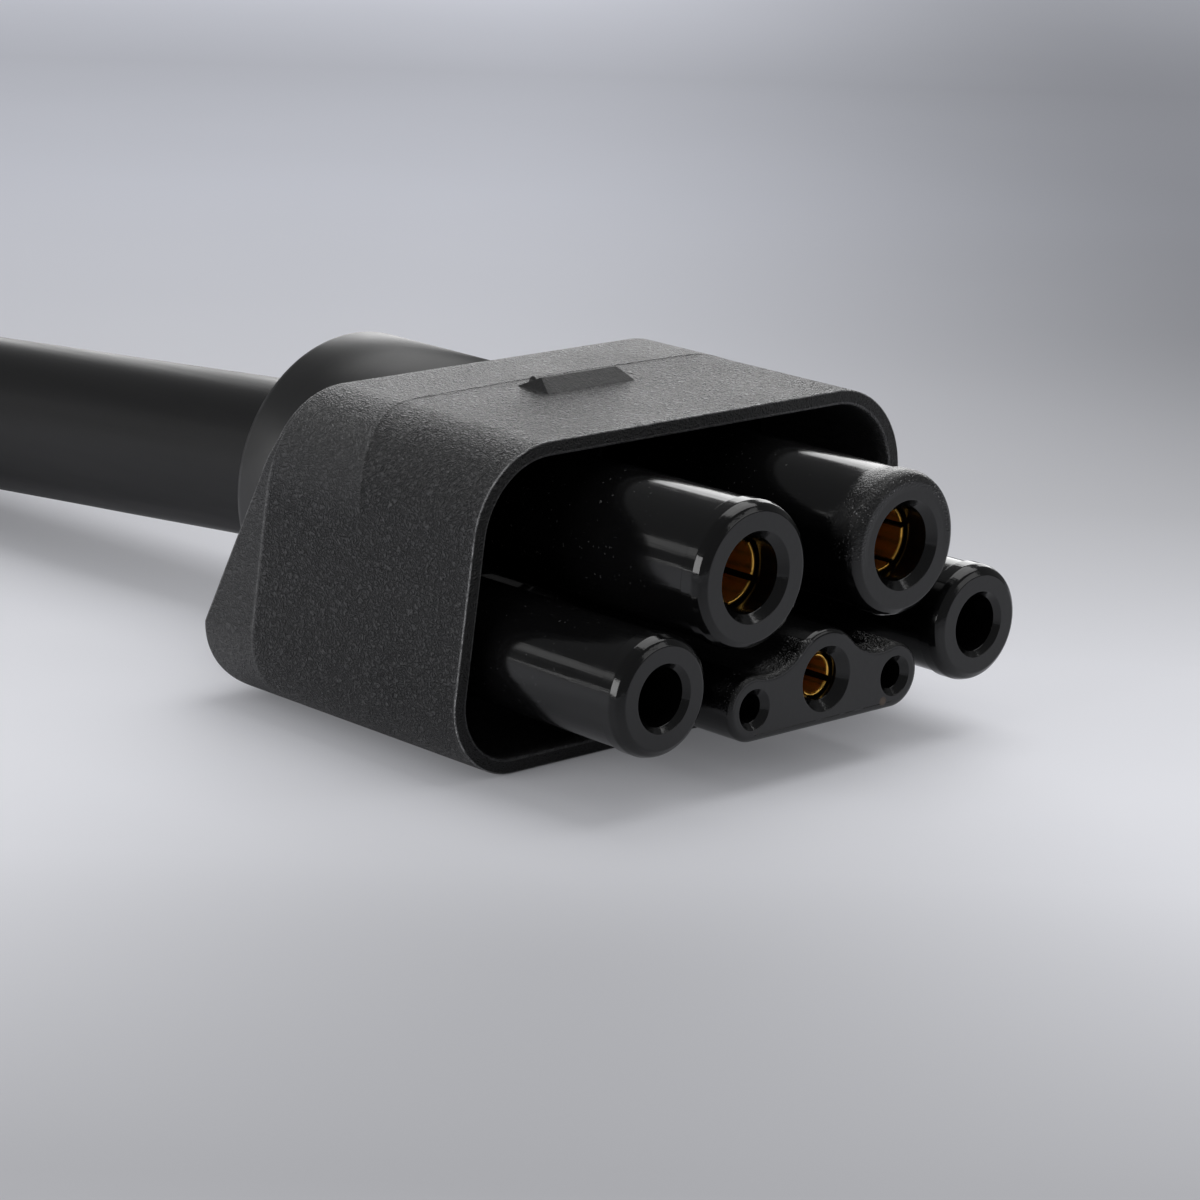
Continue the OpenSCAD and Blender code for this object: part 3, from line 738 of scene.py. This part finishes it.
def build_housing():
    front = front_rows()
    columns = []
    for x, z, nx, nz in OUTLINE:
        seam_y, up = seam_at(x, z)
        rows = front + side_rows(seam_y, up) + rear_rows(z, up)
        columns.append([(x - nx * d, y, z - nz * d, *values) for d, y, *values in rows])
    s = Shell()
    layers = {"grain": [], "edge": [], "shade": []}
    ids = []
    for ring in zip(*columns):
        ids.append(s.loop([point[:3] for point in ring]))
        for k, values in enumerate(layers.values()):
            values += [point[3 + k] for point in ring]
    for a, b in zip(ids, ids[1:]):
        s.skin(a, b)
    s.plate(ids[0])
    close_rear(s, ids[-1])
    for values, rear_value in zip(layers.values(), (REAR_GRAIN, 0.0, 0.0)):
        values += [rear_value] * (len(s.verts) - len(values))
    return s, layers


finish_piece(shell_object("housing_shell", *build_housing()), "grained_plastic", "housing")

# key ridge, with a gate mark behind its left end
KEY_FRONT = FLOOR_Y - KEY_W * 0.6
KEY_TOP, KEY_BACK = KEY_FRONT + KEY_W * 0.45, KEY_FRONT + KEY_W
KEY_SLOPE = KEY_H * 0.7
KEY_END_STEPS, KEY_STEPS = 8, 10
NUB_STEPS, NUB_SIDES, NUB_STRETCH, NUB_SINK = 8, 20, 1.1, 0.2


def key_section(x, up):
    """The ridge's profile at x, as high as a sloping end lets it be there."""
    f = max(up / KEY_H, 0.03)
    front = KEY_FRONT + (KEY_TOP - CREST_W / 2 - KEY_FRONT) * f
    back = KEY_BACK - (KEY_BACK - KEY_TOP - CREST_W / 2) * f
    low, h = SHROUD_H - 0.3, SHROUD_H
    corners = [
        (KEY_FRONT, low, 0), (KEY_FRONT, h, 0.04), (front, h + up, 0.05), (back, h + up, 0.05),
        (KEY_BACK, h, 0.04), (KEY_BACK, low, 0),
    ]
    return [(x, y, z) for y, z in fillet(corners, 4)]


def add_gate_mark(s):
    """Small dome, whose foot is sunk into the roof."""
    foot = SHROUD_H + NUB_SINK
    rings = []
    for k in range(1, NUB_STEPS):
        r, up = NUB_R * math.sin(quarter(k, NUB_STEPS)), NUB_H * math.cos(quarter(k, NUB_STEPS))
        rings.append([
            (NUB_X + r * math.cos(t) * NUB_STRETCH, NUB_Y + r * math.sin(t), foot + up)
            for t in full_turn(NUB_SIDES)
        ])
    base = [(x, y, SHROUD_H - NUB_SINK) for x, y, z in rings[-1]]
    ids = s.stack(rings + [base])
    s.fan(ids[0], (NUB_X, NUB_Y, foot + NUB_H + 0.01))
    s.faces.append(tuple(ids[-1]))


def build_key():
    s = Shell()
    steps = KEY_END_STEPS + 0.5
    start = -KEY_L / 2 + KEY_SLOPE + 0.05
    left = [(-KEY_L / 2 + KEY_SLOPE * k / steps, KEY_H * k / steps) for k in range(KEY_END_STEPS + 1)]
    left.append((start, KEY_H))
    middle = [(start - 2 * start * k / KEY_STEPS, KEY_H) for k in range(1, KEY_STEPS)]
    right = [(-x, up) for x, up in reversed(left)]
    ids = s.stack([key_section(x, up) for x, up in left + middle + right])
    for end in (ids[0], ids[-1]):
        s.faces.append(tuple(end))
    add_gate_mark(s)
    # painted shade: darker than the housing, most of all on its left end, which is turned from the light
    slope_x = KEY_L / 2 - KEY_SLOPE
    n = len(s.verts)
    shade = [0.75 + 0.25 * smooth_step(-x, slope_x - 0.1, slope_x) for x, y, z in s.verts]
    return s, {"grain": [0.1] * n, "edge": [0.0] * n, "shade": shade}


finish_piece(shell_object("key_ridge", *build_key()), "grained_plastic", "housing")

# boss round the cable
BOSS_SIDES, BOSS_ROUND, BOSS_DEPTH = 160, 0.7, 12


def build_boss():
    s = Shell()
    hidden_y = REAR_Y + 0.5
    profile = fillet([
        (0.2, hidden_y, 0), (BOSS_R, hidden_y, 0), (BOSS_R, BOSS_END, BOSS_ROUND),
        (CABLE_D / 2, BOSS_END, BOSS_ROUND / 2), (CABLE_D / 2, BOSS_END - BOSS_DEPTH, 0),
        (0.2, BOSS_END - BOSS_DEPTH, 0),
    ], 6)
    s.lathe(0, BOSS_Z, profile, BOSS_SIDES)
    edge = []
    for r, y in profile:
        on_edge = y > BOSS_END - BOSS_ROUND - 0.05 and r > BOSS_R - BOSS_ROUND - 0.05
        edge += [1.0 if on_edge else 0.0] * BOSS_SIDES
    edge += [0.0] * (len(s.verts) - len(edge))
    return s, {"edge": edge}


finish_piece(shell_object("boss_turned", *build_boss()), "smooth_plastic", "cable_collar")

# contact carrier: four sleeves, the pilot block and the plate
LONG_STEP = 1.2
POWER_DEPTH, OUTER_DEPTH, BLOCK_DEPTH = 30, 33, 25
BLOCK_ARC, BLOCK_STEPS, LOW_STEPS = 40, 30, 30
ROOT_Y = FLOOR_Y + 0.1


def split_long(profile):
    """Adds points where neighbours lie further apart than a step, so that point values stay local."""
    out = [profile[0]]
    for a, b in zip(profile, profile[1:]):
        n = max(1, math.ceil(math.dist(a, b) / LONG_STEP))
        out += [(a[0] + (b[0] - a[0]) * k / n, a[1] + (b[1] - a[1]) * k / n) for k in range(1, n + 1)]
    return out


def sleeve_profile(r, bore, entry, depth):
    """From the bottom of the bore over its entry, the nose and the collar to the root."""
    c = r + COLLAR_UP
    nose = NOSE_Y
    return split_long(fillet([
        (0.05, nose + depth, 0), (bore, nose + depth, 0), (bore, nose + entry, 0.15),
        (bore + entry, nose, 0.12), (c - 0.9, nose, 0.35), (c - 0.28, nose + 0.42, 0.9),
        (c, nose + 1.2, 1.0), (c, nose + COLLAR_L, 0.06), (r, nose + COLLAR_L + 0.08, 0.06),
        (r, FLOOR_Y - 0.5, 0.5), (r + 0.6, ROOT_Y, 0), (0.05, ROOT_Y, 0),
    ], 6))


def block_outline():
    """Points and outward normals round the three-lobed block, from its right lobe's underside upwards."""
    dx, dz = SIGNAL_X, SIGNAL_Z - GROUND_Z
    span = math.hypot(dx, dz)
    ux, uz = dx / span, dz / span
    a = ((LOBE_R + VALLEY_R) ** 2 - (SIDE_R + VALLEY_R) ** 2 + span ** 2) / (2 * span)
    b = math.sqrt((LOBE_R + VALLEY_R) ** 2 - a * a)
    # centre of the hollow, which touches both lobes
    vx, vz = a * ux - b * uz, GROUND_Z + a * uz + b * ux
    t_side = math.atan2(vz - SIGNAL_Z, vx - SIGNAL_X)
    t_mid = math.atan2(vz - GROUND_Z, vx)
    side = arc(SIGNAL_X, SIGNAL_Z, SIDE_R, -math.pi / 2, t_side, BLOCK_ARC)
    hollow = arc(vx, vz, VALLEY_R, t_side + math.pi, t_mid + math.pi, BLOCK_ARC // 2, -1)
    middle = arc(0, GROUND_Z, LOBE_R, t_mid, math.pi / 2, BLOCK_ARC // 2)
    right = side + hollow[1:-1] + middle
    low = [(-SIGNAL_X * (1 - 2 * k / LOW_STEPS), BLOCK_Z, 0, -1) for k in range(1, LOW_STEPS)]
    return right + mirrored(right[:-1]) + low


def add_block(s):
    """Root, side and rounded front edge of the block, then its face with three holes."""
    edge_y = NOSE_Y + BLOCK_ROUND * 1.3
    rows = [(0, ROOT_Y + (edge_y - ROOT_Y) * k / BLOCK_STEPS) for k in range(BLOCK_STEPS + 1)]
    for k in range(8):
        a = quarter(k, 7)
        rows.append((BLOCK_ROUND * (1 - math.cos(a)), NOSE_Y + BLOCK_ROUND * (1 - math.sin(a))))
    rows.append((BLOCK_ROUND + 0.12, NOSE_Y))
    points = block_outline()
    ids = s.stack([[(x - nx * d, y, z - nz * d) for x, z, nx, nz in points] for d, y in rows])
    s.plate(ids[0])
    holes = []
    for x, z, r, entry in (
        (0, GROUND_Z, GROUND_BORE, GROUND_ENTRY), (SIGNAL_X, SIGNAL_Z, SIGNAL_BORE, SIGNAL_ENTRY),
        (-SIGNAL_X, SIGNAL_Z, SIGNAL_BORE, SIGNAL_ENTRY),
    ):
        profile = fillet([
            (r + entry + 0.25, NOSE_Y, 0), (r + entry, NOSE_Y, 0.14), (r, NOSE_Y + entry, 0.15),
            (r, NOSE_Y + BLOCK_DEPTH, 0), (0.05, NOSE_Y + BLOCK_DEPTH, 0),
        ], 5)
        hole = s.lathe(x, z, profile, 64, close_start=False)
        holes.append(list(reversed(hole[0])))
    s.plate(ids[-1], holes)


def build_carrier():
    s = Shell()
    power = sleeve_profile(POWER_R, POWER_BORE, POWER_ENTRY, POWER_DEPTH)
    outer = sleeve_profile(OUTER_R, OUTER_BORE, OUTER_ENTRY, OUTER_DEPTH)
    for m in (-1, 1):
        s.lathe(m * POWER_X, POWER_Z, power, 128)
        s.lathe(m * OUTER_X, OUTER_Z, outer, 112)
    add_block(s)
    plate = []
    for d, y in ((WALL, FLOOR_Y + PLATE_T), (WALL, ROOT_Y), (WALL + 0.1, FLOOR_Y)):
        plate.append([(x - nx * d, y, z - nz * d) for x, z, nx, nz in OUTLINE])
    ids = s.stack(plate)
    s.plate(ids[0])
    s.plate(ids[-1])
    return s


def scuff_at(x, y, z):
    """Wear of the right power sleeve's nose, of the right lobe's top and of the block's upper edges; it also
    places painted glints there.
    """
    from_power = math.hypot(x - POWER_X, z - POWER_Z)
    from_signal = math.hypot(abs(x) - SIGNAL_X, z - SIGNAL_Z)
    from_lobe = math.hypot(x - SIGNAL_X, z - SIGNAL_Z)
    from_ground = math.hypot(x, z - GROUND_Z)
    scuff = 0.0
    if POWER_R - 1.2 < from_power < POWER_R + 0.3:
        nose = 1 - smooth_step(y, NOSE_Y + 2.2, NOSE_Y + 4.5)
        scuff = nose * smooth_step(z - POWER_Z, -3, 2)
    past_holes = min(from_ground - GROUND_BORE - GROUND_ENTRY, from_signal - SIGNAL_BORE - SIGNAL_ENTRY) > 0.3
    if y <= NOSE_Y + 0.05 or not past_holes:
        return scuff
    if SIDE_R - 1 < from_lobe < SIDE_R + 0.1 and z > SIGNAL_Z:
        scuff = max(scuff, 1 - smooth_step(y, NOSE_Y + 3, NOSE_Y + 7))
    if abs(x) < SIGNAL_X + SIDE_R and z < POWER_Z - POWER_R - 0.5:
        front = 1 - smooth_step(y, NOSE_Y + 1.5, NOSE_Y + 4)
        scuff = max(scuff, 0.75 * front * smooth_step(z, SIGNAL_Z, SIGNAL_Z + 1))
    return scuff


carrier = build_carrier()
carrier_layers = {
    "scuff": [scuff_at(x, y, z) for x, y, z in carrier.verts],
    "dust": [smooth_step(y, NOSE_Y + 3, NOSE_Y + 16) for x, y, z in carrier.verts],
}
finish_piece(shell_object("carrier_turned", carrier, carrier_layers), "carrier_gloss", "contact_carrier")

# floor with painted light: its brightness rises and falls along the camera's direction on the ground and
# across it, in metres
FLOOR_SIZE, FLOOR_Z = 6, -0.0001
AHEAD, ASIDE = (0.690, 0.7236, 0), (0.7236, -0.690, 0)
# painted light along the ground: brightness at distances along the camera's direction, in metres
FLOOR_PAINTED_LIGHT = (
    (-0.30, 0.62), (-0.17, 0.42), (-0.123, 0.43), (-0.087, 0.575), (-0.055, 0.69), (0.015, 0.72),
    (0.045, 0.64), (0.085, 0.55), (0.2, 0.50), (0.30, 0.47), (0.45, 0.385), (0.7, 0.50),
)
# painted shadow on the floor before the part
PAINTED_SHADOW, PAINTED_SHADOW_R = (-50, -56, 0), 0.075     # place in mm, reach in metres
FLOOR_GLOW, GLOW_REFLECTED, CONTACT_SHADE_REACH = 0.4, 0.45, 0.014


def painted_light_along(nt, ahead):
    """Colour of the floor along the camera's direction, with painted light that rises and falls with
    distance, cooler in the distance.
    """
    start, end = FLOOR_PAINTED_LIGHT[0][0], FLOOR_PAINTED_LIGHT[-1][0]
    tone = nt.nodes.new("ShaderNodeValToRGB")
    nt.links.new(ramp(nt, ahead, start, end), tone.inputs["Fac"])
    points = tone.color_ramp.elements
    while len(points) < len(FLOOR_PAINTED_LIGHT):
        points.new(0.5)
    for point, (at, v) in zip(points, FLOOR_PAINTED_LIGHT):
        point.position = at - start
    for point, (at, v) in zip(points, FLOOR_PAINTED_LIGHT):
        cool = 0.03 * smooth_step(at, 0.08, 0.3)
        point.color = (v * (0.985 - cool), v * (0.993 - cool / 2), v * (1.045 + cool), 1)
    return tone.outputs["Color"]


def painted_light_across(nt, ahead, aside):
    """Brightness of the floor: painted light that falls off to the far right, uneven, and a painted shadow
    before the part.
    """
    # painted light: the floor darker towards the far right, a little less so in the distance
    dark = times(
        nt, ramp(nt, aside, -0.03, 0.12, 0, 0.58, smooth=True), ramp(nt, ahead, -0.04, 0.2, smooth=True)
    )
    dark = times(nt, dark, ramp(nt, aside, 0.3, 0.6, 1, 0, smooth=True))
    dark = times(nt, dark, ramp(nt, ahead, 0.2, 0.45, 1, 0.8, smooth=True))
    cloud = ramp(nt, noise(nt, 9, 2), 0.3, 0.7, 0.985, 1.015)
    # painted shadow before the part
    painted_shadow = ramp(nt, near(nt, PAINTED_SHADOW), 0.0, PAINTED_SHADOW_R, 0.76, 1, smooth=True)
    return times(nt, times(nt, minus(nt, 1.0, dark), cloud), painted_shadow)


def glow_strength(nt):
    """Glow of the floor's colour for the camera, and less in reflections, dimmed close to the part as a
    painted contact shade on the floor.
    """
    path = nt.nodes.new("ShaderNodeLightPath").outputs
    reflected = maths(nt, "MAXIMUM", path["Is Glossy Ray"], path["Is Transmission Ray"])
    seen = maths(nt, "MAXIMUM", path["Is Camera Ray"], times(nt, reflected, GLOW_REFLECTED))
    # painted contact shade: the glow is dimmed where the part stands close above the floor
    open_above = nt.nodes.new("ShaderNodeAmbientOcclusion")
    open_above.inputs["Distance"].default_value = CONTACT_SHADE_REACH
    open_above.samples = 8
    seen = times(nt, seen, ramp(nt, open_above.outputs["AO"], 0.1, 0.8, 0.3, 1))
    return times(nt, seen, FLOOR_GLOW)


def floor_material():
    m = bpy.data.materials.new("floor")
    m.use_nodes = True
    nt = m.node_tree
    nt.nodes.clear()
    ahead, aside = (vector_maths(nt, "DOT_PRODUCT", coords(nt), way) for way in (AHEAD, ASIDE))
    shade = nt.nodes.new("ShaderNodeVectorMath")
    shade.operation = "SCALE"
    nt.links.new(painted_light_along(nt, ahead), shade.inputs[0])
    nt.links.new(painted_light_across(nt, ahead, aside), shade.inputs["Scale"])
    colour = shade.outputs["Vector"]
    diffuse = nt.nodes.new("ShaderNodeBsdfDiffuse")
    nt.links.new(colour, diffuse.inputs["Color"])
    glow = nt.nodes.new("ShaderNodeEmission")
    nt.links.new(colour, glow.inputs["Color"])
    nt.links.new(glow_strength(nt), glow.inputs["Strength"])
    add = nt.nodes.new("ShaderNodeAddShader")
    nt.links.new(diffuse.outputs[0], add.inputs[0])
    nt.links.new(glow.outputs[0], add.inputs[1])
    out = nt.nodes.new("ShaderNodeOutputMaterial")
    nt.links.new(add.outputs[0], out.inputs["Surface"])
    return m


def lay_floor():
    bpy.ops.mesh.primitive_plane_add(size=FLOOR_SIZE, location=(0, 0, FLOOR_Z))
    o = bpy.context.object
    o.name = "floor"
    o.data.materials.append(floor_material())


lay_floor()

# light: soft panels round a point at the front of the part
LIT_POINT = Vector((0, -0.015, 0.02))
# name, azimuth from +Y towards +X, elevation, distance, width, height, radiance
PANELS = (
    ("overhead", 82, 68, 0.8, 0.8, 0.6, 1.8),
    ("back_right", 47, 16, 1.0, 0.68, 0.54, 2.75),
    ("back_left", -41, 21, 1.0, 0.34, 0.16, 0.85),
    ("left", -80, 14, 1.0, 0.6, 0.4, 4.5),
    ("horizon_left", -46, 1.2, 1.0, 0.5, 0.02, 2.5),
    ("front_right", 150, 28, 0.9, 0.6, 0.35, 1.0),
)


def panel(name, azimuth, elevation, distance, width, height, radiance):
    a, e = math.radians(azimuth), math.radians(elevation)
    way = Vector((math.sin(a) * math.cos(e), math.cos(a) * math.cos(e), math.sin(e)))
    data = bpy.data.lights.new(name, "AREA")
    data.shape = "RECTANGLE"
    data.size, data.size_y = width, height
    data.energy = radiance * math.pi * width * height
    o = link_object(name, data)
    o.location = LIT_POINT + distance * way
    o.rotation_mode = "QUATERNION"
    o.rotation_quaternion = (-way).to_track_quat("-Z", "Y")
    o.visible_camera = False


for settings in PANELS:
    panel(*settings)

world = bpy.data.worlds.new("world")
bpy.context.scene.world = world
world.use_nodes = True
background = world.node_tree.nodes["Background"]
background.inputs["Color"].default_value = (0.97, 0.98, 1.0, 1)
background.inputs["Strength"].default_value = 0.15

bpy.context.scene.view_settings.view_transform = "Standard"
